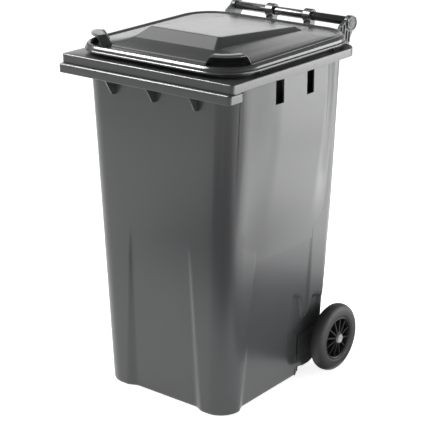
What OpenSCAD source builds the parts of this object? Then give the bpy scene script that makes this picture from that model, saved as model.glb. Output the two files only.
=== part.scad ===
// Two-wheeled refuse container with a hinged lid.
// Millimetres. +Z is up, the front (comb bar) faces -Y, +X is to the right.
// Depth positions below are measured back from the front lip of the comb bar;
// from_front() moves them into the part's own frame, whose origin is on the
// floor at the centre of the footprint.

/* [Overall] */
// Width over the comb bar
body_w = 580; // [560:1:600]
// Depth from the comb bar lip to the back of the handle ears
body_d = 690; // [690:1:700]
// Height of the rim's top face
rim_z = 955; // [945:1:965]

/* [Tub] */
// Width of the tub at the floor
tub_floor_w = 439; // [430:1:445]
// Width of the tub under the rim
tub_top_w = 520; // [515:1:524]
// Setback of the tub's front wall at the floor
tub_floor_front = 69; // [64:1:72]
// Setback of the tub's front wall under the rim
tub_top_front = 57; // [54:1:60]
// Depth position of the rear wall above the wheel housing
tub_rear = 554; // [550:1:556]
// Wall thickness of the tub
wall = 4; // [3.5:0.5:5]
// Radius of the front corners
front_r = 64; // [58:1:68]
// Radius of the rear corners
rear_r = 40; // [34:1:44]
// Depth of the recessed panels at the floor
panel_depth = 12; // [8:1:13]
// Height at which the recessed panels run out
panel_top = 485; // [450:5:520]

/* [Rim and comb bar] */
// Width of the rim band
rim_w = 577; // [574:1:579]
// Setback of the rim band behind the comb bar lip
rim_front = 12; // [10:1:14]
// Depth position of the rim's rear edge
rim_rear = 574; // [572:1:576]
// Height of each of the two bands of the rim
band_h = 24.5; // [22:0.5:27]
// Height over which each side swells out to meet the rim band
shoulder_drop = 160; // [150:5:180]
// Height of the rain upstand round the mouth
upstand_h = 7; // [5:1:8]

/* [Handle and hinge] */
// Diameter of the handle tube, which is also the hinge axle
tube_d = 25; // [24:0.5:26]
// Height of the handle tube's axis
hinge_z = 997; // [996:1:999]
// Depth position of the handle tube's axis
hinge_y = 656; // [655:1:657]
// Distance of each lid lug from the centre plane
lug_x = 66; // [60:1:75]

/* [Lid] */
// Width of the lid
lid_w = 556; // [550:1:560]
// Depth position of the lid's front edge
lid_front = 29; // [27:1:31]
// Depth position of the lid's rear edge
lid_rear = 600; // [596:1:601]
// Thickness of the lid
lid_t = 3.5; // [3:0.5:4]
// Height of the lid's dome above the rim, at its front
dome_h = 68; // [60:1:70]

/* [Wheels] */
// Diameter of the wheels
wheel_d = 200; // [198:1:202]
// Depth position of the axle
axle_y = 522; // [518:1:524]
// Diameter of the axle
axle_d = 20; // [19:1:21]
// Width of the tyre
tyre_w = 42; // [38:1:44]
// Number of spokes in each wheel
spokes = 10; // [8:1:12]

/* [Hidden] */
$fn = 64;
eps = 0.5;
plastic = [0.27, 0.28, 0.29];
black_plastic = [0.16, 0.16, 0.17];
rubber = [0.22, 0.22, 0.23];
steel = [0.62, 0.63, 0.65];

// Heights of the rim and lid features
band_z = rim_z - band_h;
lip_z = rim_z - 2 * band_h;
tub_top = rim_z + upstand_h;
rim_plate = 4;
floor_t = 5;
rim_r = 6;
rim_inset = 3;
rim_rear_r = 45;

// Tub sections, from the floor up: the rear wall leans in below the side panels
tub_levels = [0, 100, 230, 350, 485, 700, tub_top];
rear_lean = [20, 17, 14, 8, 2, 0, 0];
arc_steps = 9;

// Wheel housing under the rear of the tub
housing_y = 424;
housing_z = 26;
axle_z = wheel_d / 2;
axle_r = axle_d / 2;
bore_gap = 0.1;
run_gap = 0.05;
pocket_top = 128;
web_t = 6;
web_x = [-206, -103, 0, 103, 206];
pocket_depth = 92;

// Side shoulders with two windows each: steps of [share of the drop, distance from the centre plane]
shoulder_steps = [[0, 252], [0.2, 262], [0.4, 277], [0.56, 285], [1, 286]];
shoulder_front = 130;
shoulder_rear = 490;
shoulder_root = 250;
hollow_root = 261;
hollow_steps = [[0.28, 262.8], [0.4, 271.8], [0.56, 280], [1, 281.2]];
window_y = [197, 331];
window_w = 32;
window_h = 62;

// Gussets under the comb bar
gusset_x = [-141, 0, 141];
gusset_t = 4;
gusset_drop = 74;
bar_return = 62;

// Chip nest under the comb bar: a cup with a cap pushed into it
nest_x = 190;
nest_y = 32;
nest_r = 18;
nest_h = 10;
nest_hole_r = 15;
nest_fit = 0.2;
nest_flange = 2;
nest_plug = 6;

// Handle ears and end caps
ear_x = 192;
ear_t = 12;
ear_r = 23;
ear_z = hinge_z - 4;
ear_front_y = 662;
ear_rear_y = body_d - ear_r;
tube_r = tube_d / 2;
tube_wall = 3;
cap_t = 4;
ear_ribs = [620, 632, 644, 656];
ear_rib_t = 3;
lug_w = 26;
lug_r = 20;

// Lid rings, from the lip inwards
lid_z = rim_z + 11;
lid_front_r = 106;
lid_rear_r = 100;
buffer_x = 266;
buffer_y = [150, 480];
buffer_r = 3.5;
buffer_gap = 0.4;
buffer_h = 23;

// Wheel stack along the axle, measured from the centre plane
washer_x = 225;
washer_t = 10.5;
washer_r = 18;
hub_x = 236;
hub_len = 48;
tyre_x = 243;
rim_ring_r = 62;
hub_r = 21;
bush_r = 13;
ring_x = hub_x + hub_len + 0.5;
ring_t = 1.6;
ring_r = 12.4;
axle_end = 287.5;
cap_r = 14.5;
cap_wall = 1.3;
cap_len = 6;
cap_face = 2;

// --- Outlines -----------------------------------------------------------

// Moves front-measured positions into the part's frame
module from_front() translate([0, -body_d / 2, 0]) children();

// Points of a quarter circle, the last point included
function quarter(cx, cy, r, a) =
    [for (i = [0 : arc_steps]) [cx + r * cos(a + 90 * i / arc_steps), cy + r * sin(a + 90 * i / arc_steps)]];

// Straight interpolation in a table of heights
function at_level(z, values, i = 0) =
    i >= len(tub_levels) - 2 || z <= tub_levels[i + 1]
        ? values[i] + (values[i + 1] - values[i]) * (z - tub_levels[i]) / (tub_levels[i + 1] - tub_levels[i])
        : at_level(z, values, i + 1);

// How far a panel is recessed at height z: nothing at its top, all of it at the floor
function sink(z) = z >= panel_top ? 0 : 1 - z / panel_top;

// One section of the tub at height z, drawn inwards by t; the three panels step in by a ramp
function tub_section(z, t) =
    let (up = z / rim_z, s = sink(z),
         w = (tub_floor_w + (tub_top_w - tub_floor_w) * up) / 2 - t,
         y0 = tub_floor_front + (tub_top_front - tub_floor_front) * up + t,
         y1 = tub_rear - at_level(z, rear_lean) - t,
         rf = front_r - t, rr = rear_r - t, d = panel_depth * s,
         xo = 105 + 35 * s, xi = 100 + 4 * s,
         ya = 180 - 52 * s, yb = 184 - 20 * s, yc = 436 - 8 * s, yd = 440 + 4 * s)
    concat([[-xo, y0], [-xi, y0 + d], [xi, y0 + d], [xo, y0]],
           quarter(w - rf, y0 + rf, rf, -90),
           [[w, ya], [w - d, yb], [w - d, yc], [w, yd]],
           quarter(w - rr, y1 - rr, rr, 0),
           quarter(-w + rr, y1 - rr, rr, 90),
           [[-w, yd], [-w + d, yc], [-w + d, yb], [-w, ya]],
           quarter(-w + rf, y0 + rf, rf, 180));

// Mean of a ring's points
function middle(ring) = [for (p = ring) 1] * ring / len(ring);

// A closed solid through a stack of rings with equal point counts, capped from the middle of
// its first and last rings
module loft(rings) {
    n = len(rings[0]);
    m = len(rings);
    points = [for (ring = rings) each ring, middle(rings[0]), middle(rings[m - 1])];
    sides = [for (k = [0 : m - 2]) for (i = [0 : n - 1]) let (j = (i + 1) % n)
             each [[k * n + i, (k + 1) * n + i, (k + 1) * n + j], [k * n + i, (k + 1) * n + j, k * n + j]]];
    caps = [for (i = [0 : n - 1]) let (j = (i + 1) % n, top = (m - 1) * n)
            each [[m * n, i, j], [m * n + 1, top + j, top + i]]];
    polyhedron(points, concat(sides, caps), convexity = 6);
}

// A ring of the tub with its height added
function raise(section, z) = [for (p = section) [p[0], p[1], z]];

// Flat outline with two front and two rear radii
module plate(w, y0, y1, rf, rr) {
    translate([-w / 2 + rf, y0]) square([w - 2 * rf, rf]);
    translate([-w / 2, y0 + rf]) square([w, y1 - y0 - rf - rr]);
    translate([-w / 2 + rr, y1 - rr]) square([w - 2 * rr, rr]);
    for (s = [-1, 1]) {
        translate([s * (w / 2 - rf), y0 + rf]) circle(rf);
        translate([s * (w / 2 - rr), y1 - rr]) circle(rr);
    }
}

// A cylinder along X whose inner end is at x
module rod_x(x, y, z, r, len) translate([x, y, z]) rotate([0, 90, 0]) cylinder(r = r, h = len);

// Draws its children on the right, or mirrored on the left
module side(s) mirror([s < 0 ? 1 : 0, 0, 0]) children();

// --- Tub ----------------------------------------------------------------

module tub_outer() loft([for (z = tub_levels) raise(tub_section(z, 0), z)]);

module tub_inner() {
    levels = [floor_t, for (i = [1 : len(tub_levels) - 2]) tub_levels[i], tub_top + 1];
    difference() {
        loft([for (z = levels) raise(tub_section(min(z, tub_top), wall), z)]);
        translate([-300, housing_y, 0]) cube([600, 200, pocket_top + wall]);
    }
}

// Top plate and outer band of the rim, open underneath
module rim() {
    translate([0, 0, rim_z - rim_plate])
        linear_extrude(rim_plate) plate(rim_w, rim_front, rim_rear, rim_r, rim_rear_r);
    translate([0, 0, band_z]) linear_extrude(band_h) difference() {
        plate(rim_w, rim_front, rim_rear, rim_r, rim_rear_r);
        plate(rim_w - 2 * wall, rim_front + wall, rim_rear - wall, rim_r - rim_inset, rim_rear_r - wall);
    }
}

// Comb bar across the front, with a return along each side and gussets under it
module comb_bar() {
    translate([0, 0, band_z - rim_plate])
        linear_extrude(rim_plate) plate(body_w, 0, bar_return, 5, 5);
    translate([0, 0, lip_z]) linear_extrude(band_h) difference() {
        plate(body_w, 0, bar_return, 5, 5);
        translate([-body_w / 2 + wall, wall]) square([body_w - 2 * wall, bar_return]);
    }
    for (x = gusset_x)
        translate([x + gusset_t / 2, 0, 0]) rotate([0, -90, 0]) linear_extrude(gusset_t)
            polygon([[band_z - rim_plate, 2], [lip_z + 8, 2], [band_z - gusset_drop, 60],
                     [band_z - gusset_drop, 75], [band_z - rim_plate, 75]]);
}

// Points of a shoulder's profile, from its steps, closed along a root plane
function shoulder_outline(steps, root, top) =
    let (height = function(share) band_z - shoulder_drop * (1 - share), last = steps[len(steps) - 1])
    concat([for (q = steps) [q[1], height(q[0])]],
           [[last[1], top], [root, top], [root, height(steps[0][0])]]);

// Pushes an (x, z) outline along the depth from y0 to y1
module along_depth(y0, y1) translate([0, y1, 0]) rotate([90, 0, 0]) linear_extrude(y1 - y0) children();

// The hollow swelling that carries the side of the tub out to the rim, with its windows
module side_shoulder() difference() {
    along_depth(shoulder_front, shoulder_rear)
        polygon(shoulder_outline(shoulder_steps, shoulder_root, band_z + eps));
    along_depth(shoulder_front + wall, shoulder_rear - wall)
        polygon(shoulder_outline(hollow_steps, hollow_root, band_z - eps));
    for (y = window_y)
        translate([hollow_root + 1, y, band_z - window_h - 1]) cube([30, window_w, window_h]);
}

// One handle ear, standing on the rear wall
module ear() {
    difference() {
        translate([ear_x, 0, 0]) rotate([90, 0, 90]) linear_extrude(ear_t) {
            translate([ear_front_y, ear_z]) circle(ear_r);
            translate([ear_rear_y, ear_z]) circle(ear_r);
            translate([ear_front_y, ear_z - ear_r]) square([ear_rear_y - ear_front_y, 2 * ear_r]);
            polygon([[540, 800], [668, 912], [668, 948], [677, 974], [ear_front_y, ear_z],
                     [644, 1004], [613, 989], [604, rim_z - 2], [540, rim_z - 2]]);
        }
        rod_x(ear_x - 1, hinge_y, hinge_z, tube_r + bore_gap, ear_t + 2);
    }
    for (y = ear_ribs)
        translate([ear_x + ear_t - eps, y, 945]) cube([ear_rib_t, ear_rib_t, 21]);
}

// Pockets that lighten the wheel housing from below, between its webs
module housing_pockets() {
    for (i = [0 : len(web_x) - 2])
        translate([web_x[i] + web_t / 2, housing_y + web_t, -1])
            cube([web_x[i + 1] - web_x[i] - web_t, pocket_depth, pocket_top + 1]);
}

// Nest for the chip cap, on the underside of the comb bar's plate
module chip_nest() translate([nest_x, nest_y, band_z - rim_plate - nest_h])
    cylinder(r = nest_r, h = nest_h + eps);

module tub() color(plastic) from_front() difference() {
    union() {
        difference() {
            tub_outer();
            translate([-300, housing_y, -1]) cube([600, 200, housing_z + 1]);
            translate([-300, housing_y + 90, -1]) rotate([35, 0, 0]) cube([600, 200, 40]);
        }
        rim();
        comb_bar();
        chip_nest();
        for (s = [-1, 1]) side(s) {
            side_shoulder();
            ear();
        }
    }
    tub_inner();
    housing_pockets();
    rod_x(-300, axle_y, axle_z, axle_r + bore_gap, 600);
    translate([nest_x, nest_y, band_z - rim_plate - nest_h - 1])
        cylinder(r = nest_hole_r, h = nest_h - 1);
}

module chip_nest_cap() color(black_plastic) from_front()
    translate([nest_x, nest_y, band_z - rim_plate - nest_h - nest_flange]) {
        cylinder(r = nest_r - 1, h = nest_flange - nest_fit / 2);
        cylinder(r = nest_hole_r - nest_fit, h = nest_plug);
    }

// --- Handle -------------------------------------------------------------

module handle_tube() color(black_plastic) from_front() difference() {
    rod_x(-ear_x - ear_t, hinge_y, hinge_z, tube_r, 2 * (ear_x + ear_t));
    rod_x(-ear_x - ear_t - 1, hinge_y, hinge_z, tube_r - tube_wall, 2 * (ear_x + ear_t) + 2);
}

// Round-ended cap, plugged into the end of the handle tube
module handle_end_cap(s) color(black_plastic) from_front() side(s) {
    x0 = ear_x + ear_t + 0.1;
    translate([x0, 0, 0]) rotate([90, 0, 90]) linear_extrude(cap_t) {
        translate([ear_front_y, ear_z]) circle(ear_r - 1);
        translate([ear_rear_y, ear_z]) circle(ear_r - 1);
        translate([ear_front_y, ear_z - ear_r + 1]) square([ear_rear_y - ear_front_y, 2 * ear_r - 2]);
    }
    rod_x(ear_x - 6, hinge_y, hinge_z, tube_r - tube_wall - 0.1, ear_t + 8);
}

// --- Lid ----------------------------------------------------------------

// One ring of the lid: drawn in from the outline by dx at the sides, to front and rear positions,
// with its height falling evenly from z0 at the front to z1 at the rear
function lid_ring(dx, y0, y1, rf, rr, z0, z1) =
    let (w = lid_w / 2 - dx)
    [for (p = concat(quarter(w - rf, y0 + rf, rf, -90), quarter(w - rr, y1 - rr, rr, 0),
                     quarter(-w + rr, y1 - rr, rr, 90), quarter(-w + rf, y0 + rf, rf, 180)))
        [p[0], p[1], z0 + (z1 - z0) * (p[1] - y0) / (y1 - y0)]];

// Rings of the lid's upper skin; drop and inset turn them into the lower skin
function lid_rings(drop, inset) =
    [lid_ring(inset, lid_front + inset, lid_rear - inset, lid_front_r - inset, lid_rear_r - inset,
              lid_z - 2 * drop, lid_z - 2 * drop),
     lid_ring(inset, lid_front + inset, lid_rear - inset, lid_front_r - inset, lid_rear_r - inset,
              rim_z + 18 - drop, rim_z + 18 - drop),
     lid_ring(9, lid_front + 11, lid_rear - 9, 96, 92, rim_z + 27.5 - drop, rim_z + 27 - drop),
     lid_ring(24, lid_front + 44, lid_rear - 22, 80, 78, rim_z + 25 - drop, rim_z + 27 - drop),
     lid_ring(128, 130, 530, 26, 16, rim_z + 42 - drop, rim_z + 32 - drop),
     lid_ring(137 + inset / 2, 139 + inset / 2, 524 - inset / 2, 16, 11,
              rim_z + 46 - drop, rim_z + 33 - drop),
     lid_ring(158 + inset / 2, 178 + inset / 2, 519 - inset / 2, 10, 8,
              rim_z + dome_h - drop, rim_z + 40 - drop)];

// Finger grip: a hood over each front corner with a hollow under it
module grip() translate([lid_w / 2 - lid_front_r, lid_front + lid_front_r, 0])
    rotate([0, 0, -79]) rotate_extrude(angle = 68) polygon(
        [[34, rim_z + 27], [60, rim_z + 27], [66, rim_z + 42], [88, rim_z + 46],
         [88, rim_z + 51], [72, rim_z + 53], [54, rim_z + 50], [34, rim_z + 36]]);

// Lug that carries the lid on the handle tube
module lug() translate([lug_x - lug_w / 2, 0, 0]) rotate([90, 0, 90]) linear_extrude(lug_w) {
    translate([hinge_y, hinge_z]) circle(lug_r);
    polygon([[lid_rear - 10, rim_z + 20], [lid_rear - 10, rim_z + 6], [hinge_y - 6, rim_z + 2],
             [hinge_y + 10, rim_z + 10], [hinge_y + 14, hinge_z - 6], [hinge_y - 14, hinge_z - 6],
             [hinge_y - 12, rim_z + 17]]);
}

module lid() color(plastic) from_front() difference() {
    union() {
        difference() {
            loft(lid_rings(0, 0));
            loft(lid_rings(lid_t, lid_t));
        }
        for (s = [-1, 1]) side(s) {
            grip();
            lug();
        }
    }
    rod_x(-body_w / 2, hinge_y, hinge_z, tube_r + run_gap, body_w);
}

// Four soft stops between the lid and the rim
module lid_buffers() color(rubber) from_front()
    for (s = [-1, 1]) for (y = buffer_y)
        translate([s * buffer_x, y, rim_z + buffer_gap]) cylinder(r = buffer_r, h = buffer_h);

// --- Axle and wheels ----------------------------------------------------

module axle() color(steel) from_front()
    rod_x(-axle_end, axle_y, axle_z, axle_r, 2 * axle_end);

// A tube along the axle on side s, from x outwards
module on_axle(s, x, len, r_out, r_in) from_front() side(s) difference() {
    rod_x(x, axle_y, axle_z, r_out, len);
    rod_x(x - 1, axle_y, axle_z, r_in, len + 2);
}

module spacer_washer(s) color(steel) on_axle(s, washer_x, washer_t, washer_r, axle_r + bore_gap);

module hub_bush(s) color(black_plastic) on_axle(s, hub_x, hub_len, bush_r, axle_r + run_gap);

module retaining_ring(s) color(steel) on_axle(s, ring_x, ring_t, ring_r, axle_r + bore_gap);

// Spoked wheel centre: hub, thin web, spokes and the ring that carries the tyre
module wheel_disc(s) color(black_plastic) {
    on_axle(s, hub_x, hub_len, hub_r, bush_r);
    on_axle(s, tyre_x + 4, tyre_w - 8, rim_ring_r, rim_ring_r - 5);
    on_axle(s, tyre_x + 14, 4, rim_ring_r - 2, hub_r - 2);
    from_front() side(s) translate([tyre_x + 17, axle_y, axle_z]) for (i = [0 : spokes - 1])
        rotate([360 * i / spokes, 0, 0]) translate([0, -2.5, hub_r - 2]) cube([17, 5, rim_ring_r - hub_r]);
}

module tyre(s) color(rubber) from_front() side(s)
    translate([tyre_x + tyre_w / 2, axle_y, axle_z]) rotate([0, 90, 0]) rotate_extrude() {
        translate([rim_ring_r, -tyre_w / 2]) square([wheel_d / 2 - 14 - rim_ring_r, tyre_w]);
        translate([rim_ring_r, -tyre_w / 2 + 14]) square([wheel_d / 2 - rim_ring_r, tyre_w - 28]);
        for (v = [-1, 1]) translate([wheel_d / 2 - 14, v * (tyre_w / 2 - 14)]) circle(14);
    }

// Cap over the axle end, seated on the hub's outer face
module hub_cap(s) color(plastic) from_front() side(s) difference() {
    rod_x(hub_x + hub_len, axle_y, axle_z, cap_r, cap_len);
    rod_x(hub_x + hub_len - 1, axle_y, axle_z, cap_r - cap_wall, cap_len + 1 - cap_face);
}

tub();
chip_nest_cap();
handle_tube();
handle_end_cap(-1);  // handle_end_cap_left
handle_end_cap(1);  // handle_end_cap_right
lid();
lid_buffers();
axle();
spacer_washer(-1);  // spacer_washer_left
spacer_washer(1);  // spacer_washer_right
hub_bush(-1);  // hub_bush_left
hub_bush(1);  // hub_bush_right
wheel_disc(-1);  // wheel_disc_left
wheel_disc(1);  // wheel_disc_right
tyre(-1);  // tyre_left
tyre(1);  // tyre_right
retaining_ring(-1);  // retaining_ring_left
retaining_ring(1);  // retaining_ring_right
hub_cap(-1);  // hub_cap_left
hub_cap(1);  // hub_cap_right
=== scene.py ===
"""Looks of a two-wheeled refuse container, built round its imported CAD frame.

Sizes in this file are millimetres unless a name says otherwise. x is across, z is up, and y is
the depth behind the comb bar's front lip. point() turns them into the frame's metres.
"""

import math

import bmesh
import bpy
from mathutils import Matrix, Vector


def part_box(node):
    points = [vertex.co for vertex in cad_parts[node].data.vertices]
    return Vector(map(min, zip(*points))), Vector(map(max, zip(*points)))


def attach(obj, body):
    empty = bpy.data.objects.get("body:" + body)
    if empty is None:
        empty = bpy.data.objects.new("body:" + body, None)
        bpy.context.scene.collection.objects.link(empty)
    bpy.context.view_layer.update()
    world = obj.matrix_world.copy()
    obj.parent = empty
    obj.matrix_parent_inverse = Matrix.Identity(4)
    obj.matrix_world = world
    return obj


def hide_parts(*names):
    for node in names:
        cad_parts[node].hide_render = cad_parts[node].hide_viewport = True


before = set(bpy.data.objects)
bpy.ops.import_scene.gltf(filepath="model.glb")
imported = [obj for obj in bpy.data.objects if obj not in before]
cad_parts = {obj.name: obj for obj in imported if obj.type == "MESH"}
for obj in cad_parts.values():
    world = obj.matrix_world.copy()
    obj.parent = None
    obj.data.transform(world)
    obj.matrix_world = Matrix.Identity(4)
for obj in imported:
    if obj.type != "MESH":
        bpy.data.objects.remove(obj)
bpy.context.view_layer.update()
FRONT_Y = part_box("tub")[0].y
SIDES = ((-1, "left"), (1, "right"))


# --- Small helpers ------------------------------------------------------------


def point(x, y, z):
    """A point in the frame's metres."""
    return (x / 1000, FRONT_Y + y / 1000, z / 1000)


def smooth(edge0, edge1, value):
    """0 before edge0, 1 after edge1 and an even curve between them."""
    t = min(1.0, max(0.0, (value - edge0) / (edge1 - edge0)))
    return t * t * (3 - 2 * t)


def between(table, at):
    """Straight interpolation in a list of (position, value) pairs."""
    for (a, va), (b, vb) in zip(table, table[1:]):
        if at <= b:
            return va + (vb - va) * max(0.0, at - a) / (b - a)
    return table[-1][1]


def finish_mesh(obj, angle=40, bevel=0.0):
    """Smooth shading with crisp edges above an angle, and small edge radii if wanted."""
    obj.data.polygons.foreach_set("use_smooth", [True] * len(obj.data.polygons))
    obj.data.set_sharp_from_angle(angle=math.radians(angle))
    if bevel:
        mod = obj.modifiers.new("edge_radius", "BEVEL")
        mod.width = bevel / 1000
        mod.segments = 2
        mod.limit_method = "ANGLE"
        mod.angle_limit = math.radians(35)
        mod.harden_normals = True
        mod.use_clamp_overlap = True
    return obj


def new_object(name, verts, faces, body, nodes=()):
    """A mesh piece that rides on a body and stands for CAD nodes."""
    mesh = bpy.data.meshes.new(name)
    mesh.from_pydata([point(*v) for v in verts], [], faces)
    mesh.update()
    bm = bmesh.new()
    bm.from_mesh(mesh)
    bmesh.ops.remove_doubles(bm, verts=bm.verts, dist=1e-6)
    bmesh.ops.recalc_face_normals(bm, faces=bm.faces)
    bm.to_mesh(mesh)
    bm.free()
    obj = bpy.data.objects.new(name, mesh)
    bpy.context.scene.collection.objects.link(obj)
    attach(obj, body)
    if nodes:
        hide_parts(*nodes)
    return obj


def bridge(rings, closed=True):
    """Quads between rings of equal length, as (verts, faces)."""
    n = len(rings[0])
    verts = [v for ring in rings for v in ring]
    last = n if closed else n - 1
    faces = [
        (k * n + i, k * n + (i + 1) % n, (k + 1) * n + (i + 1) % n, (k + 1) * n + i)
        for k in range(len(rings) - 1)
        for i in range(last)
    ]
    return verts, faces


def arc(cx, cy, r, start, steps=12):
    """Points of a quarter circle, both ends included."""
    return [
        (
            cx + r * math.cos(math.radians(start + 90 * i / steps)),
            cy + r * math.sin(math.radians(start + 90 * i / steps)),
        )
        for i in range(steps + 1)
    ]


def outline(half_w, y0, y1, rf, rr, steps=12):
    """A rectangle with rounded front and rear corners, anticlockwise from the front right."""
    return (
        arc(half_w - rf, y0 + rf, rf, -90, steps)
        + arc(half_w - rr, y1 - rr, rr, 0, steps)
        + arc(-half_w + rr, y1 - rr, rr, 90, steps)
        + arc(-half_w + rf, y0 + rf, rf, 180, steps)
    )


class Build:
    """Collects vertices and faces of one piece made of several simple bodies."""

    def __init__(self):
        self.verts, self.faces = [], []

    def add(self, verts, faces):
        start = len(self.verts)
        self.verts += verts
        self.faces += [tuple(i + start for i in f) for f in faces]

    def box(self, x0, x1, y0, y1, z0, z1):
        corners = [(x, y, z) for z in (z0, z1) for y in (y0, y1) for x in (x0, x1)]
        self.add(
            corners,
            [(0, 2, 3, 1), (4, 5, 7, 6), (0, 1, 5, 4), (2, 6, 7, 3), (0, 4, 6, 2), (1, 3, 7, 5)],
        )

    def prism_x(self, profile, x0, x1):
        """A (y, z) profile pushed along x."""
        n = len(profile)
        verts = [(x, y, z) for x in (x0, x1) for y, z in profile]
        faces = [(i, (i + 1) % n, n + (i + 1) % n, n + i) for i in range(n)]
        self.add(verts, faces + [tuple(range(n)), tuple(range(n, 2 * n))])

    def turned_x(self, profile, y, z, steps=64):
        """A profile of (x, radius) turned about an axis along x."""
        angles = [2 * math.pi * i / steps for i in range(steps)]
        rings = [
            [(x, y + r * math.cos(a), z + r * math.sin(a)) for a in angles]
            for x, r in profile
        ]
        self.add(*bridge(rings))

    def make(self, name, body, nodes=()):
        return new_object(name, self.verts, self.faces, body, nodes)


# --- Materials ----------------------------------------------------------------


def plastic(
    name, colour, rough, grain=0.35, grain_size=900.0, mottle=0.06, relief=0.00012, wear=0.05
):
    """Moulded plastic or rubber: fine grain, faint cloudy tone and a roughness that varies."""
    mat = bpy.data.materials.new(name)
    mat.use_nodes = True
    nodes, links = mat.node_tree.nodes, mat.node_tree.links
    shader = nodes["Principled BSDF"]
    shader.inputs["IOR"].default_value = 1.5
    coords = nodes.new("ShaderNodeTexCoord")

    cloud = nodes.new("ShaderNodeTexNoise")
    cloud.inputs["Scale"].default_value = 7.0
    cloud.inputs["Detail"].default_value = 5.0
    links.new(coords.outputs["Object"], cloud.inputs["Vector"])
    tone = nodes.new("ShaderNodeMapRange")
    tone.inputs["To Min"].default_value = 1 - mottle
    tone.inputs["To Max"].default_value = 1 + mottle
    links.new(cloud.outputs["Fac"], tone.inputs["Value"])
    base = nodes.new("ShaderNodeVectorMath")
    base.operation = "SCALE"
    base.inputs[0].default_value = colour
    links.new(tone.outputs["Result"], base.inputs["Scale"])
    links.new(base.outputs["Vector"], shader.inputs["Base Color"])

    scuff = nodes.new("ShaderNodeTexNoise")
    scuff.inputs["Scale"].default_value = 26.0
    scuff.inputs["Detail"].default_value = 8.0
    scuff.inputs["Roughness"].default_value = 0.65
    links.new(coords.outputs["Object"], scuff.inputs["Vector"])
    shine = nodes.new("ShaderNodeMapRange")
    shine.inputs["From Min"].default_value = 0.3
    shine.inputs["From Max"].default_value = 0.7
    shine.inputs["To Min"].default_value = rough - wear
    shine.inputs["To Max"].default_value = rough + wear
    links.new(scuff.outputs["Fac"], shine.inputs["Value"])
    links.new(shine.outputs["Result"], shader.inputs["Roughness"])

    texture = nodes.new("ShaderNodeTexNoise")
    texture.inputs["Scale"].default_value = grain_size
    texture.inputs["Detail"].default_value = 3.0
    links.new(coords.outputs["Object"], texture.inputs["Vector"])
    bump = nodes.new("ShaderNodeBump")
    bump.inputs["Strength"].default_value = grain
    bump.inputs["Distance"].default_value = relief
    links.new(texture.outputs["Fac"], bump.inputs["Height"])
    links.new(bump.outputs["Normal"], shader.inputs["Normal"])
    return mat


def metal(name, colour, rough):
    """Zinc-plated steel with fine turning marks along its length."""
    mat = bpy.data.materials.new(name)
    mat.use_nodes = True
    nodes, links = mat.node_tree.nodes, mat.node_tree.links
    shader = nodes["Principled BSDF"]
    shader.inputs["Metallic"].default_value = 1.0
    shader.inputs["Base Color"].default_value = (*colour, 1)
    coords = nodes.new("ShaderNodeTexCoord")
    stretch = nodes.new("ShaderNodeMapping")
    stretch.inputs["Scale"].default_value = (1800, 40, 40)
    links.new(coords.outputs["Object"], stretch.inputs["Vector"])
    marks = nodes.new("ShaderNodeTexNoise")
    marks.inputs["Scale"].default_value = 1.0
    links.new(stretch.outputs["Vector"], marks.inputs["Vector"])
    shine = nodes.new("ShaderNodeMapRange")
    shine.inputs["To Min"].default_value = rough - 0.1
    shine.inputs["To Max"].default_value = rough + 0.15
    links.new(marks.outputs["Fac"], shine.inputs["Value"])
    links.new(shine.outputs["Result"], shader.inputs["Roughness"])
    bump = nodes.new("ShaderNodeBump")
    bump.inputs["Strength"].default_value = 0.2
    bump.inputs["Distance"].default_value = 0.00005
    links.new(marks.outputs["Fac"], bump.inputs["Height"])
    links.new(bump.outputs["Normal"], shader.inputs["Normal"])
    return mat


# Painted shade: the ears get a darker, rougher copy of the body plastic, so they come out darker
# than the body beside them.
ear_mat_painted_shade = plastic("ear_plastic_painted_shade", (0.034, 0.035, 0.037), 0.42)
body_mat = plastic(
    "body_plastic", (0.045, 0.046, 0.048), 0.29, grain=0.25, mottle=0.035, wear=0.012
)
lid_mat = plastic(
    "lid_plastic", (0.046, 0.047, 0.049), 0.19,
    grain=0.08, grain_size=420.0, mottle=0.03, relief=0.00003, wear=0.018,
)
handle_mat = plastic(
    "handle_plastic", (0.03, 0.03, 0.032), 0.13, grain=0.05, mottle=0.04, relief=0.00004
)
cap_mat = plastic("cap_plastic", (0.045, 0.046, 0.048), 0.5)
wheel_mat = plastic("wheel_plastic", (0.016, 0.016, 0.017), 0.38)
hub_cap_mat = plastic("hub_cap_plastic", (0.30, 0.30, 0.31), 0.35)
black_mat = plastic("black_plastic", (0.02, 0.02, 0.021), 0.45)
tyre_mat = plastic(
    "tyre_rubber", (0.026, 0.026, 0.027), 0.6,
    grain=0.6, grain_size=650.0, mottle=0.12, relief=0.0002,
)
buffer_mat = plastic("buffer_rubber", (0.03, 0.03, 0.031), 0.7, grain=0.5, grain_size=1200.0)
steel_mat = metal("zinc_steel", (0.62, 0.63, 0.65), 0.35)


def dress(obj, mat):
    """Gives an object one material and returns the object."""
    obj.data.materials.clear()
    obj.data.materials.append(mat)
    return obj


# --- Tub ----------------------------------------------------------------------

RIM_Z = 955.0
BAND = 24.5
BAND_Z = RIM_Z - BAND
LIP_Z = RIM_Z - 2 * BAND
WALL = 4.0
FOOT_W, MOUTH_W = 439, 520
FOOT_FRONT, MOUTH_FRONT, MOUTH_REAR = 69, 57, 554
FRONT_R, REAR_R = 64, 40
FOOT_R = 6
# The front and side panels: they are deepest at the foot and run out at this height
PANEL_TOP = 485.0
PANEL_DEPTH = 12.0
# How far ahead of the mouth's rear edge the rear wall stands, as (height, distance)
REAR_LEAN = [(0, 20), (100, 17), (230, 14), (350, 8), (485, 2), (700, 0), (970, 0)]
AXLE_Y, AXLE_Z = 522.0, 100.0
HOUSING_Y = 424.0
# The hollows beside the wheels end below this height
HOLLOW_TOP = 290
HOLLOW_DEPTH = 17.0


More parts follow.
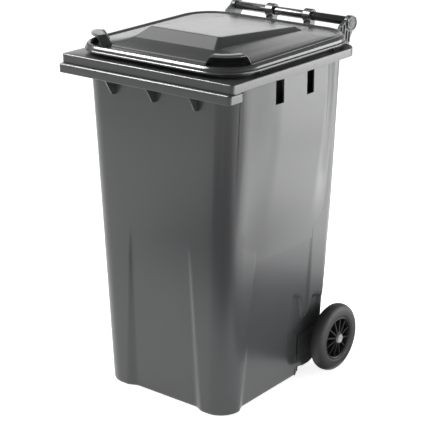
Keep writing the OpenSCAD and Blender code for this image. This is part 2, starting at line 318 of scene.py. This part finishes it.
def scoop(y, z):
    """Depth of the wheel hollow in the tub's side at a place on it."""
    if z > HOLLOW_TOP:
        return 0.0
    top = 250 + 0.5 * max(0.0, 425 - y) - 0.33 * max(0.0, y - 450)
    high = 1 - smooth(top - 14, top, z)
    ridge = 439 - max(0.0, z - 172) * 0.27
    behind = 466 - max(0.0, 234 - z) * 0.43
    ahead_of_ridge = smooth(335, 405, y) * (1 - smooth(ridge - 9, ridge, y))
    behind_ridge = smooth(behind - 8, behind + 5, y)
    keep = smooth(165, 195, z)
    joined = smooth(315, 400, y)
    low = smooth(20, 70, z)
    parted = max(ahead_of_ridge, behind_ridge)
    return HOLLOW_DEPTH * high * (joined + (parted - joined) * keep) * (0.35 + 0.65 * low)


def front_sink(x, z):
    """Depth of the front panel at a place across it."""
    s = max(0.0, 1 - z / PANEL_TOP)
    outer, inner = 105 + 35 * s, 100 + 4 * s
    return PANEL_DEPTH * s * (1 - smooth(inner, outer, abs(x)))


def side_sink(y, z):
    """Depth of the side panel at a place along it."""
    s = max(0.0, 1 - z / PANEL_TOP)
    ya, yb, yc, yd = 180 - 52 * s, 184 - 20 * s, 436 - 8 * s, 440 + 4 * s
    panel = PANEL_DEPTH * s * smooth(ya, yb, y) * (1 - smooth(yc, yd + 6, y))
    return max(panel, scoop(y, z))


def tub_half(z):
    """Half-width and front depth of the tub at a height."""
    up = z / RIM_Z
    half = (FOOT_W + (MOUTH_W - FOOT_W) * up) / 2
    return half, FOOT_FRONT - (FOOT_FRONT - MOUTH_FRONT) * up


# Places along the wall's rings, close enough for the panels and hollows
SIDE_Y = [132 + 3.2 * i for i in range(118)]
FRONT_X = [i * 4.0 for i in range(-37, 38)]


def tub_ring(z, inward):
    """One closed ring of the tub wall, moved inwards by a wall thickness."""
    w, y0 = tub_half(z)
    w, y0 = w - inward, y0 + inward
    y1 = MOUTH_REAR - between(REAR_LEAN, z) - inward
    rf, rr = FRONT_R - inward, REAR_R - inward
    front = [(x, y0 + front_sink(x, z), z) for x in FRONT_X]
    right = [(x, y, z) for x, y in arc(w - rf, y0 + rf, rf, -90, 16)]
    for y in SIDE_Y:
        y = min(max(y, y0 + rf + 1), y1 - rr - 1)
        right.append((w - side_sink(y, z), y, z))
    for x, y in arc(w - rr, y1 - rr, rr, 0, 12):
        fade = 1 - smooth(y1 - rr, y1 - 6, y)
        right.append((x - scoop(y, z) * fade, y, z))
    left = [(-x, y, z) for x, y, z in reversed(right)]
    return front + right + left


# Heights of the rings, closest where the panels and hollows are
LEVELS = (
    [0, 1, 3, 6]
    + [12 + 8 * i for i in range(60)]
    + [500 + 33 * i for i in range(13)]
    + [910, 930, 950, RIM_Z - 1]
)


def foot_inset(z):
    """The radius round the foot's lower edge."""
    return FOOT_R - math.sqrt(max(0.0, FOOT_R ** 2 - (FOOT_R - min(z, FOOT_R)) ** 2))


def cut_up(x, y, z):
    """Raises the foot behind the side's straight lower edge, up to the wheel housing."""
    floor = 0.0
    if y > HOUSING_Y - 10:
        floor = 24 * smooth(HOUSING_Y - 10, HOUSING_Y, y) + 26 * smooth(465, 535, y)
    return (x, y, max(z, floor + (z * 0.002 if floor else 0)))


tub = Build()
outer = [[cut_up(*p) for p in tub_ring(z, foot_inset(z))] for z in LEVELS]
tub.add(*bridge(outer))

# The foot's underside is a fan of triangles, which ends at the wheel housing's front wall
sole, n = outer[0], len(outer[0])
centre = (0, 240, 3)
hub = len(tub.verts)
tub.verts.append(centre)
tub.faces += [
    (i, (i + 1) % n, hub) for i in range(n) if max(sole[i][1], sole[(i + 1) % n][1]) < HOUSING_Y
]
x, y, z = max((p for p in sole if p[1] < HOUSING_Y), key=lambda p: p[1])
tub.add([(x, y, z), (-x, y, z), centre], [(0, 1, 2)])

# The inside stops short of the wheel housing, low down
inner = []
for height in LEVELS:
    if height >= 12:
        ring = tub_ring(height, WALL)
        if height < 132:
            ring = [(x, min(y, 420), z) for x, y, z in ring]
        inner.append(ring)
start = len(tub.verts)
tub.add(*bridge(inner))
hub = len(tub.verts)
tub.verts.append((0, 260, 8))
tub.faces += [(start + (i + 1) % n, start + i, hub) for i in range(n)]
dress(finish_mesh(tub.make("tub_shell", "container", ["tub"]), 32), body_mat)


# Housing floor behind the foot, with its webs, which the axle passes through
housing = Build()
web = [(426, 30), (500, 34), (530, 52), (536, 90), (536, 126), (426, 126)]
for x in (-206, -103, 0, 103, 206):
    housing.prism_x(web, x - 3, x + 3)
housing.prism_x([(424, 126), (534, 126), (534, 131), (424, 131)], -206, 206)
housing.box(-210, 210, 408, 412, 2, 131)
piece = housing.make("wheel_housing_webs", "container")
dress(finish_mesh(piece, bevel=1), body_mat)


# --- Rim, comb bar and side shoulders --------------------------------------------


def rim_ring(d, z, half=288.4, y0=12, y1=574, rf=11, rr=45):
    """A ring of the rim's outside at a height, drawn in by d."""
    flat = outline(half - d, y0 + d, y1 - d, max(rf - d, 1), max(rr - d, 1))
    return [(x, y, z) for x, y in flat]


def mouth_ring(d, z):
    """A ring of the tub's mouth at a height, drawn in by d."""
    return rim_ring(d, z, 260.3, MOUTH_FRONT, MOUTH_REAR, FRONT_R, REAR_R)


rim = Build()
rim.add(*bridge([
    rim_ring(4, RIM_Z - 4), rim_ring(4, BAND_Z), rim_ring(1.2, BAND_Z),
    rim_ring(0, BAND_Z + 1.2), rim_ring(0, RIM_Z - 3.5), rim_ring(0.3, RIM_Z - 2.2),
    rim_ring(1.0, RIM_Z - 1.0), rim_ring(2.2, RIM_Z - 0.3), rim_ring(3.5, RIM_Z),
    mouth_ring(-1, RIM_Z), mouth_ring(0, RIM_Z + 1), mouth_ring(0, RIM_Z + 6),
    mouth_ring(1, RIM_Z + 7), mouth_ring(3, RIM_Z + 7), mouth_ring(4, RIM_Z + 6),
    mouth_ring(4, RIM_Z - 30),
]))
dress(finish_mesh(rim.make("rim_band", "container"), 30), body_mat)


bar = Build()
BAR_BACK = 50.0
BAR_HALF = 290.0
NEST_X, NEST_Y = 190, 32


def bar_ring(d, z):
    """The comb bar's front and its two turned-back ends at a height, drawn in by d."""
    half = BAR_HALF - d
    r = max(10 - d, 1)
    return (
        [(-half, BAR_BACK, z)]
        + [(x, y, z) for x, y in arc(-half + r, d + r, r, 180)]
        + [(x, y, z) for x, y in arc(half - r, d + r, r, -90)]
        + [(half, BAR_BACK, z)]
    )


bar.add(*bridge([
    bar_ring(4, LIP_Z), bar_ring(1, LIP_Z), bar_ring(0, LIP_Z + 1.2), bar_ring(0, BAND_Z - 4.5),
    bar_ring(0.35, BAND_Z - 2.8), bar_ring(1.3, BAND_Z - 1.3), bar_ring(2.8, BAND_Z - 0.35),
    bar_ring(4.5, BAND_Z), bar_ring(14, BAND_Z),
], closed=False))
bar.add(*bridge([
    bar_ring(4, LIP_Z), bar_ring(4, BAND_Z - 4), bar_ring(30, BAND_Z - 4),
], closed=False))
for side in (-1, 1):
    end = [(side * x, BAR_BACK, z) for x, z in (
        (BAR_HALF, LIP_Z), (BAR_HALF - 4, LIP_Z), (BAR_HALF - 4, BAND_Z), (BAR_HALF, BAND_Z)
    )]
    bar.add(end, [(0, 1, 2, 3)])
bar.box(-262, 262, 14, 62, BAND_Z - 4, BAND_Z - 0.5)
gusset = [(4, BAND_Z - 5), (4, LIP_Z + 3), (23, 897), (45, 860), (60, 857), (60, BAND_Z - 5)]
for x in (-141, 0, 141):
    bar.prism_x(gusset, x - 2, x + 2)
# Closes the gap between the bar's ends and the rim above them
for side in (-1, 1):
    bar.box(*sorted((side * 284, side * 288.2)), 24, BAR_BACK - 1, BAND_Z - 6, BAND_Z + 1)
# The chip nest's cup, as (radius, depth) under the bar's plate
cup = ((18, 4), (18, 13.4), (17.4, 14), (14.2, 14), (14.2, 5))
round_about = [math.tau * i / 40 for i in range(40)]
bar.add(*bridge([
    [(NEST_X + r * math.cos(a), NEST_Y + r * math.sin(a), BAND_Z - d) for a in round_about]
    for r, d in cup
]))
dress(finish_mesh(bar.make("comb_bar", "container"), 30), body_mat)

WINDOWS = ((197, 229), (331, 363))
WINDOW_Z = (867.5, 929.5)
SHOULDER_HALF = 288.0
SHOULDER_GRID_Y = sorted({*range(92, 513, 6), *(y for window in WINDOWS for y in window)})
SHOULDER_GRID_Z = sorted({*range(425, 926, 10), *WINDOW_Z, BAND_Z + 3})


def tub_side(y, z):
    """Distance of the tub's plain side from the centre plane, round its front corner too."""
    w, y0 = tub_half(z)
    into_corner = max(0.0, y0 + FRONT_R - y)
    return w - FRONT_R + math.sqrt(max(0.0, FRONT_R ** 2 - into_corner ** 2))


def shoulder_x(y, z):
    """Distance of the shoulder's face from the centre plane; its edges end inside the tub wall."""
    swell = smooth(430, 890, z) * smooth(70, 226, y) * (1 - smooth(420, 512, y))
    return tub_side(y, z) - 0.6 + (SHOULDER_HALF - tub_side(y, z)) * swell


def in_window(y, z):
    """Whether a place on the side lies in one of the two windows."""
    return WINDOW_Z[0] < z < WINDOW_Z[1] and any(a < y < b for a, b in WINDOWS)


shoulders = Build()
for side in (-1, 1):
    rows = [[(side * shoulder_x(y, z), y, z) for y in SHOULDER_GRID_Y] for z in SHOULDER_GRID_Z]
    verts, faces = bridge(rows, closed=False)
    shoulders.add(verts, [
        face for face in faces
        if not in_window(sum(verts[i][1] for i in face) / 4, sum(verts[i][2] for i in face) / 4)
    ])
    for y0, y1 in WINDOWS:
        z0, z1 = WINDOW_Z
        loop = [(y0, z0), (y1, z0), (y1, z1), (y0, z1)]
        shoulders.add(*bridge([
            [(side * (shoulder_x(y, z) - depth), y, z) for y, z in loop] for depth in (0, WALL)
        ]))
piece = shoulders.make("side_shoulders", "container")
dress(finish_mesh(piece, 30), body_mat)


# --- Handle ear, tube and end caps ---------------------------------------------

HINGE_Y, HINGE_Z = 656.0, 997.0
HEAD = ((660.0, 992.0), (666.0, 990.5))


def capsule(r, steps=20):
    """The (y, z) outline of the ear's head, at radius r from its two centres."""
    (ya, za), (yb, zb) = HEAD
    rear = [math.pi * (i / steps - 0.5) for i in range(steps + 1)]
    front = [math.pi * (i / steps + 0.5) for i in range(steps + 1)]
    return [(yb + r * math.cos(t), zb + r * math.sin(t)) for t in rear] + [
        (ya + r * math.cos(t), za + r * math.sin(t)) for t in front
    ]


def loft_x(build, stack):
    """A closed solid through (x, outline) pairs, with both ends filled."""
    rings = [[(x, y, z) for y, z in profile] for x, profile in stack]
    verts, faces = bridge(rings)
    n = len(rings[0])
    faces += [tuple(range(n)), tuple(range(len(verts) - n, len(verts)))]
    build.add(verts, faces)


ears = Build()
EAR = [(548, 905), (600, 905), (636, 909), (657, 920), (658, 947), (677, 973), (664, 988),
       (645, 1003), (640, 1003), (613, 989), (608, 970), (596, 953), (548, 953)]
HEAD_STEPS = ((192.5, 19.8), (193.5, 21), (203, 21), (204, 20))
for side in (-1, 1):
    loft_x(ears, [(side * x, capsule(r)) for x, r in HEAD_STEPS])
    ears.prism_x(EAR, side * 193, side * 203.4)
    # Upright ribs outside, braces inside
    for y, top in ((616, 986), (629, 991), (642, 973), (655, 968)):
        rib = [(y - 4, 940), (y, 940), (y + 3, top), (y, top + 1), (y - 1, top)]
        ears.prism_x(rib, side * 203, side * 206.4)
    for y0, z0, y1, z1 in ((560, 915, 600, 950), (596, 915, 640, 975)):
        ears.prism_x([(y0, z0), (y0 + 6, z0), (y1 + 6, z1), (y1, z1)], side * 170, side * 193)
piece = ears.make("handle_ears", "container")
# The ears' darker plastic is painted shade.
dress(finish_mesh(piece, bevel=1.0), ear_mat_painted_shade)

tube = Build()
tube.turned_x([
    (-204, 9.6), (-204, 12), (-203.5, 12.45), (203.5, 12.45), (204, 12), (204, 9.6), (-204, 9.6),
], HINGE_Y, HINGE_Z)
piece = tube.make("handle_bar", "container", ["handle_tube"])
dress(finish_mesh(piece, 50), handle_mat)

# End caps: a disc, a raised rim on it and a raised middle
for side, word in SIDES:
    cap = Build()
    x = 204.1 * side
    face_x, crest_x = x + side * 2.2, x + side * 3.9
    loft_x(cap, [(x, capsule(20)), (x + side * 1.6, capsule(20)), (face_x, capsule(19.4))])
    raised = (
        (face_x, 19.9), (crest_x - side * 0.5, 19.9), (crest_x, 19.4),
        (crest_x, 17.6), (crest_x - side * 0.5, 17.2), (face_x, 17.2),
    )
    cap.add(*bridge([[(px, y, z) for y, z in capsule(r)] for px, r in raised]))
    cap.prism_x(capsule(9), face_x - side * 0.5, crest_x - side * 0.4)
    piece = cap.make(f"end_cap_{word}", "container", [f"handle_end_cap_{word}"])
    dress(finish_mesh(piece, bevel=0.4), cap_mat)


# --- Lid ------------------------------------------------------------------------

PLATEAU = ((178.0, 1022.7), (519.0, 995.0))


def plateau_z(y):
    """Height of the dome's flat top, which falls towards the hinge."""
    (y0, z0), (y1, z1) = PLATEAU
    return z0 + (y - y0) * (z1 - z0) / (y1 - y0)


ARC = 26
# Half-width, front, rear, front radius, rear radius, height at the front, height at the rear:
# the edge and the bead, then the slope up to the dome, then the dome's own side
LID_STEPS = [
    (278.0, 29.0, 600.0, 106, 106, 966.2, 966.8),
    (278.0, 29.0, 600.0, 106, 106, 969.6, 970.0),
    (277.0, 30.0, 599.2, 105, 105, 970.8, 971.2),
    (275.4, 31.6, 598.0, 103.4, 104, 971.3, 971.6),
    (274.6, 32.4, 597.4, 102.6, 103.4, 973.0, 973.0),
    (274.0, 33.0, 597.0, 102, 103, 976.5, 979.0),
    (273.2, 33.8, 596.4, 101.2, 101.8, 978.0, 981.5),
    (269.4, 37.6, 593.0, 97.6, 98, 981.8, 986.9),
    (267.0, 40.0, 590.8, 96, 96.4, 982.6, 988.2),
    (264.6, 42.6, 588.6, 94, 94, 982.7, 988.4),
    (260.6, 48.0, 585.0, 91, 91, 982.0, 987.8),
    (257.2, 55.0, 581.6, 88, 88, 980.4, 986.0),
    (255.0, 62.0, 579.0, 86, 86, 979.3, 984.8),
    (252.6, 68.0, 576.6, 84, 84, 979.1, 984.5),
    (249.8, 74.0, 574.0, 82, 82, 980.2, 985.4),
    (244.0, 80.0, 570.0, 79, 79, 982.2, 986.2),
    (226.0, 91.0, 558.0, 70, 70, 985.6, 986.6),
    (200.0, 103.0, 546.0, 60, 60, 989.3, 986.9),
    (172.0, 119.0, 534.0, 44, 40, 994.2, 987.1),
    (152.0, 132.0, 524.0, 26, 16, 998.2, 987.3),
    (143.5, 138.0, 519.6, 16, 11, 1000.1, 987.5),
    (141.2, 139.4, 519.2, 14, 10, 1000.9, 987.7),
    (140.2, 141.0, 519.0, 13.5, 10, 1001.9, 988.2),
    (119.6, 175.6, 518.8, 9.5, 8, 1021.4, 994.5),
    (118.2, 177.6, 518.2, 9, 7.5, 1022.3, 994.9),
    (116.0, 180.5, 516.5, 8, 7, 1022.6, 995.2),
]
BEAD_RINGS = 13
SLOPE_END = 19
# The slope is split finer, so that the grips' hollows have points to sink
LID_RINGS = LID_STEPS[:BEAD_RINGS]
for before, after in zip(LID_STEPS[BEAD_RINGS - 1:SLOPE_END - 1], LID_STEPS[BEAD_RINGS:SLOPE_END]):
    LID_RINGS += [tuple(a + (b - a) * t / 4 for a, b in zip(before, after)) for t in range(1, 5)]
LID_RINGS += LID_STEPS[SLOPE_END:]

# Centre of the lid's front corner, and the direction of the corner's middle in degrees
CORNER = (172.0, 135.0)
CORNER_TURN = -47


def grip_hollow(x, y):
    """Depth of the hollow under a corner grip at a place on the lid."""
    dx, dy = abs(x) - CORNER[0], y - CORNER[1]
    reach = math.hypot(dx, dy)
    turn = math.degrees(math.atan2(dy, dx)) - CORNER_TURN
    across = smooth(46, 60, reach) * (1 - smooth(83, 91, reach))
    return 13.0 * across * (1 - smooth(36, 45, abs(turn)))


def lid_ring(spec, drop=0.0, inset=0.0):
    """One ring of the lid, lowered by drop and drawn in by inset for the lower skin."""
    half, y0, y1, rf, rr, z0, z1 = spec
    y0, y1, half = y0 + inset, y1 - inset, half - inset
    slope = (z1 - z0) / (y1 - y0)
    return [
        (x, y, z0 + slope * (y - y0) - drop - grip_hollow(x, y))
        for x, y in outline(half, y0, y1, max(rf - inset, 4), max(rr - inset, 4), ARC)
    ]


def plateau_rings():
    """Rings of the dome's top, closing on its middle line."""
    steps = ((96, 202, 500, 7), (70, 240, 470, 12), (40, 290, 420, 8), (12, 340, 372, 4))
    return [
        [(x, y, plateau_z(y) + 0.2) for x, y in outline(half, y0, y1, r, r, ARC)]
        for half, y0, y1, r in steps
    ]


THICK = 3.5
upper = [lid_ring(s) for s in LID_RINGS] + plateau_rings()
lower = []
for i, spec in enumerate(LID_RINGS):
    inset = THICK if i < 8 else THICK * 0.5 if i < BEAD_RINGS else 0.0
    lower.append(lid_ring(spec, THICK if i > 2 else 0.0, inset))
lower += [[(x, y, z - THICK) for x, y, z in ring] for ring in plateau_rings()]
skin = Build()
verts, faces = bridge(list(reversed(lower)) + upper)
skin.add(verts, faces)
m = len(upper[0])
skin.faces += [tuple(range(m)), tuple(range(len(verts) - m, len(verts)))]
dress(finish_mesh(skin.make("lid_shell", "lid", ["lid"]), 22), lid_mat)


# Hooded finger grips over the front corners
def hood_point(ring_r, turn, side, below):
    """A point of a hood, ring_r from the corner's centre and turn degrees from its middle."""
    rise = smooth(38, 61, ring_r) * (1 - smooth(30, 46, abs(turn)))
    base = 981.0 + 3.0 * (1 - smooth(30, 60, ring_r))
    angle = math.radians(CORNER_TURN + turn)
    lip = 1.6 * smooth(78, 88, ring_r)
    return (
        side * (CORNER[0] + ring_r * math.cos(angle)),
        CORNER[1] + ring_r * math.sin(angle),
        base + 28.0 * rise - lip - below,
    )


turns = [-46 + 92 * i / 60 for i in range(61)]
radii = [28 + 60 * i / 30 for i in range(31)]
for side, word in SIDES:
    hood = Build()
    top = [[hood_point(r, t, side, 0) for t in turns] for r in radii]
    under = [[hood_point(r, t, side, 2.6) for t in turns] for r in reversed(radii)]
    hood.add(*bridge(top + under, closed=False))
    piece = hood.make(f"lid_grip_{word}", "lid")
    dress(finish_mesh(piece, 50), lid_mat)

# Lugs that carry the lid on the handle tube
for side, word in SIDES:
    lug = Build()
    x0, x1 = side * 66 - 13, side * 66 + 13
    lug.turned_x([
        (x0, 12.6), (x0, 18.6), (x0 + 1.2, 19.8),
        (x1 - 1.2, 19.8), (x1, 18.6), (x1, 12.6), (x0, 12.6),
    ], HINGE_Y, HINGE_Z)
    arm = [(590, 975), (590, 961), (650, 957), (666, 965), (669, 985), (643, 985), (644, 972)]
    lug.prism_x(arm, x0 + 1, x1 - 1)
    dress(finish_mesh(lug.make(f"lid_lug_{word}", "lid"), bevel=0.8), lid_mat)


# --- Wheels -----------------------------------------------------------------------

# Turned profiles, as (distance from the centre plane, radius)
TYRE = [
    (247.5, 62), (245, 63.5), (244.4, 67), (243.2, 69), (243, 78), (243.8, 86), (246.6, 92.4),
    (251.5, 97), (257.5, 99.3), (264, 100), (270.5, 99.3), (276.5, 97), (281.4, 92.4), (284.2, 86),
    (285, 78), (284.8, 69), (283.6, 67), (283, 63.5), (280.5, 62), (247.5, 62),
]
DISC = [
    (248, 61.8), (247.5, 58), (249, 56.5), (257, 56.2), (257, 21.5), (236.5, 21), (236, 20),
    (236, 13.1), (284, 13.1), (284, 17.4), (283, 18.4), (261, 20.5), (261, 56.2), (279, 56.8),
    (281.5, 58.2), (282.6, 60), (281.5, 61.6), (248, 61.8),
]
CAP = [
    (284, 13.0), (284, 13.4), (287.4, 13.2), (289.2, 12.2), (290, 10.4), (289.9, 8), (288.4, 5.4),
    (287.9, 3), (287.8, 0.01),
]
SPOKES = 12


def wheel(side, word):
    """One wheel: a tyre, a disc with radial ribs and a hub cap."""
    body = f"wheel_{word}"
    tyre = Build()
    tyre.turned_x([(side * x, r) for x, r in TYRE], AXLE_Y, AXLE_Z, 96)
    piece = tyre.make(f"tyre_{word}_visual", body, [f"tyre_{word}"])
    dress(finish_mesh(piece, 24), tyre_mat)
    disc = Build()
    disc.turned_x([(side * x, r) for x, r in DISC], AXLE_Y, AXLE_Z, 96)
    for i in range(SPOKES):
        angle = 2 * math.pi * (i + 0.5) / SPOKES
        radial = Vector((math.cos(angle), math.sin(angle)))
        across = Vector((-radial.y, radial.x))
        verts = []
        for x_top, r, half in ((281.5, 17.5, 2.4), (278.5, 57.2, 1.5)):
            for x in (260.5, x_top):
                for s in (-1, 1):
                    p = radial * r + across * (half * s)
                    verts.append((side * x, AXLE_Y + p.x, AXLE_Z + p.y))
        disc.add(verts, [
            (0, 1, 3, 2), (4, 6, 7, 5), (0, 4, 5, 1), (2, 3, 7, 6), (0, 2, 6, 4), (1, 5, 7, 3),
        ])
    piece = disc.make(f"wheel_{word}_centre", body, [f"wheel_disc_{word}"])
    dress(finish_mesh(piece, 35, bevel=0.4), wheel_mat)
    cap = Build()
    cap.turned_x([(side * x, r) for x, r in CAP], AXLE_Y, AXLE_Z, 48)
    piece = cap.make(f"hub_cap_{word}_visual", body, [f"hub_cap_{word}"])
    dress(finish_mesh(piece, 40), hub_cap_mat)


for side, word in SIDES:
    wheel(side, word)

# CAD nodes whose own shape stays
for node, mat in (
    ("chip_nest_cap", black_mat), ("lid_buffers", buffer_mat), ("axle", steel_mat),
    ("spacer_washer_left", steel_mat), ("spacer_washer_right", steel_mat),
    ("hub_bush_left", black_mat), ("hub_bush_right", black_mat),
    ("retaining_ring_left", steel_mat), ("retaining_ring_right", steel_mat),
):
    dress(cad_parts[node], mat)


# --- Studio ------------------------------------------------------------------------

bpy.ops.mesh.primitive_plane_add(size=60, location=(0, 0, 0))
floor = bpy.context.object
floor.name = "studio_floor"
floor_mat = bpy.data.materials.new("pale_floor")
floor_mat.use_nodes = True
floor_shader = floor_mat.node_tree.nodes["Principled BSDF"]
floor_shader.inputs["Base Color"].default_value = (0.93, 0.93, 0.93, 1)
floor_shader.inputs["Roughness"].default_value = 0.9
floor_shader.inputs["Emission Color"].default_value = (1, 1, 1, 1)
floor_shader.inputs["Emission Strength"].default_value = 0.76
dress(floor, floor_mat)

world = bpy.data.worlds.new("studio")
bpy.context.scene.world = world
world.use_nodes = True
nodes, links = world.node_tree.nodes, world.node_tree.links
background = nodes["Background"]
direction = nodes.new("ShaderNodeTexCoord")
parts = nodes.new("ShaderNodeSeparateXYZ")
links.new(direction.outputs["Generated"], parts.inputs["Vector"])
level = nodes.new("ShaderNodeMapRange")
level.inputs["From Min"].default_value = 0.25
level.inputs["From Max"].default_value = 0.6
level.inputs["To Min"].default_value = 0.5
level.inputs["To Max"].default_value = 0.2
links.new(parts.outputs["Z"], level.inputs["Value"])
links.new(level.outputs["Result"], background.inputs["Strength"])
background.inputs["Color"].default_value = (1, 1, 1, 1)


def lamp(name, place, turn, width, height, power, spread=180):
    """A rectangular lamp that the camera doesn't see."""
    light = bpy.data.lights.new(name, "AREA")
    light.shape = "RECTANGLE"
    light.size, light.size_y, light.energy = width, height, power
    light.spread = math.radians(spread)
    obj = bpy.data.objects.new(name, light)
    obj.location = place
    obj.rotation_euler = turn
    obj.visible_camera = False
    bpy.context.scene.collection.objects.link(obj)
    return obj


def softbox(name, place, aim, *size_and_power):
    """A lamp turned to a point."""
    turn = (Vector(aim) - Vector(place)).to_track_quat("-Z", "Y").to_euler()
    return lamp(name, place, turn, *size_and_power)


def floor_card(name, place, width, height, power, turn_z):
    """A glowing card that lies on the floor and faces up."""
    lamp(name, place, (math.pi, 0, math.radians(turn_z)), width, height, power)


middle = (0, 0, 0.6)
softbox("rear_left", (-2.6, 3.4, 1.7), middle, 4.0, 1.4, 16)
softbox("rear_right", (2.6, 3.0, 1.0), (0.2, 0.1, 0.9), 3.0, 1.2, 23, 90)
softbox("overhead_left", (-2.4, 0.4, 3.6), middle, 2.0, 2.0, 30)
softbox("overhead_strip", (-1.85, -0.95, 3.15), (0, 0, 1), 1.4, 0.42, 60)
# Only reflections see this one, which draws the bright line along the handle, bead and edges
tube_strip = softbox("tube_strip", (-1.82, -1.18, 2.83), (0.05, 0.65, 1.0), 1.7, 1.5, 190)
tube_strip.visible_diffuse = False
softbox("side_wash", (1.9, 2.0, 0.3), (0.25, 0, 0.7), 2.0, 0.4, 11)
softbox("side_wash_front", (2.5, 0.4, 0.35), (0.25, -0.1, 0.7), 1.6, 0.5, 12)
softbox("front_left", (-3.2, -1.6, 1.3), middle, 2.0, 2.0, 8)
floor_card("floor_card_near", (0.98, 0.84, 0.03), 0.95, 1.8, 10, 52)
floor_card("floor_card_far", (1.7, 1.75, 0.03), 1.1, 2.2, 19, 52)
floor_card("floor_card_front", (1.75, 0.3, 0.03), 1.6, 0.9, 14, 12)


def flag(name, place, size, turn_z):
    """A black card laid flat that only reflections see; it darkens what mirrors it."""
    bpy.ops.mesh.primitive_plane_add(size=1, location=place)
    card = bpy.context.object
    card.name = name
    card.scale = (*size, 1)
    card.rotation_euler = (0, 0, math.radians(turn_z))
    card.visible_camera = False
    card.visible_diffuse = False
    card.visible_shadow = False
    black = bpy.data.materials.new(name)
    black.use_nodes = True
    shader = black.node_tree.nodes["Principled BSDF"]
    shader.inputs["Base Color"].default_value = (0.004, 0.004, 0.004, 1)
    shader.inputs["Roughness"].default_value = 1.0
    dress(card, black)


flag("flag_front_right", (1.0, -1.4, 0.02), (1.7, 1.3), -50)
flag("flag_front", (-0.15, -1.75, 0.015), (1.3, 1.5), 0)
flag("flag_low_right", (0.6, 0.36, 0.02), (0.85, 1.6), 52)

# --- Camera --------------------------------------------------------------------------

camera_data = bpy.data.cameras.new("camera")
# A long lens, which sees the container from well away
camera_data.sensor_width = 36.0
camera_data.lens = 112.88
camera_data.clip_end = 100.0
camera = bpy.data.objects.new("camera", camera_data)
bpy.context.scene.collection.objects.link(camera)
YAW, PITCH, ROLL = 38.317, 19.665, -0.171
turn = (
    Matrix.Rotation(math.radians(YAW), 4, "Z")
    @ Matrix.Rotation(math.radians(90 - PITCH), 4, "X")
    @ Matrix.Rotation(math.radians(ROLL), 4, "Z")
)
camera.matrix_world = Matrix.Translation((2.2773, -2.8998, 1.7787)) @ turn
bpy.context.scene.camera = camera
bpy.context.scene.view_settings.view_transform = "Standard"
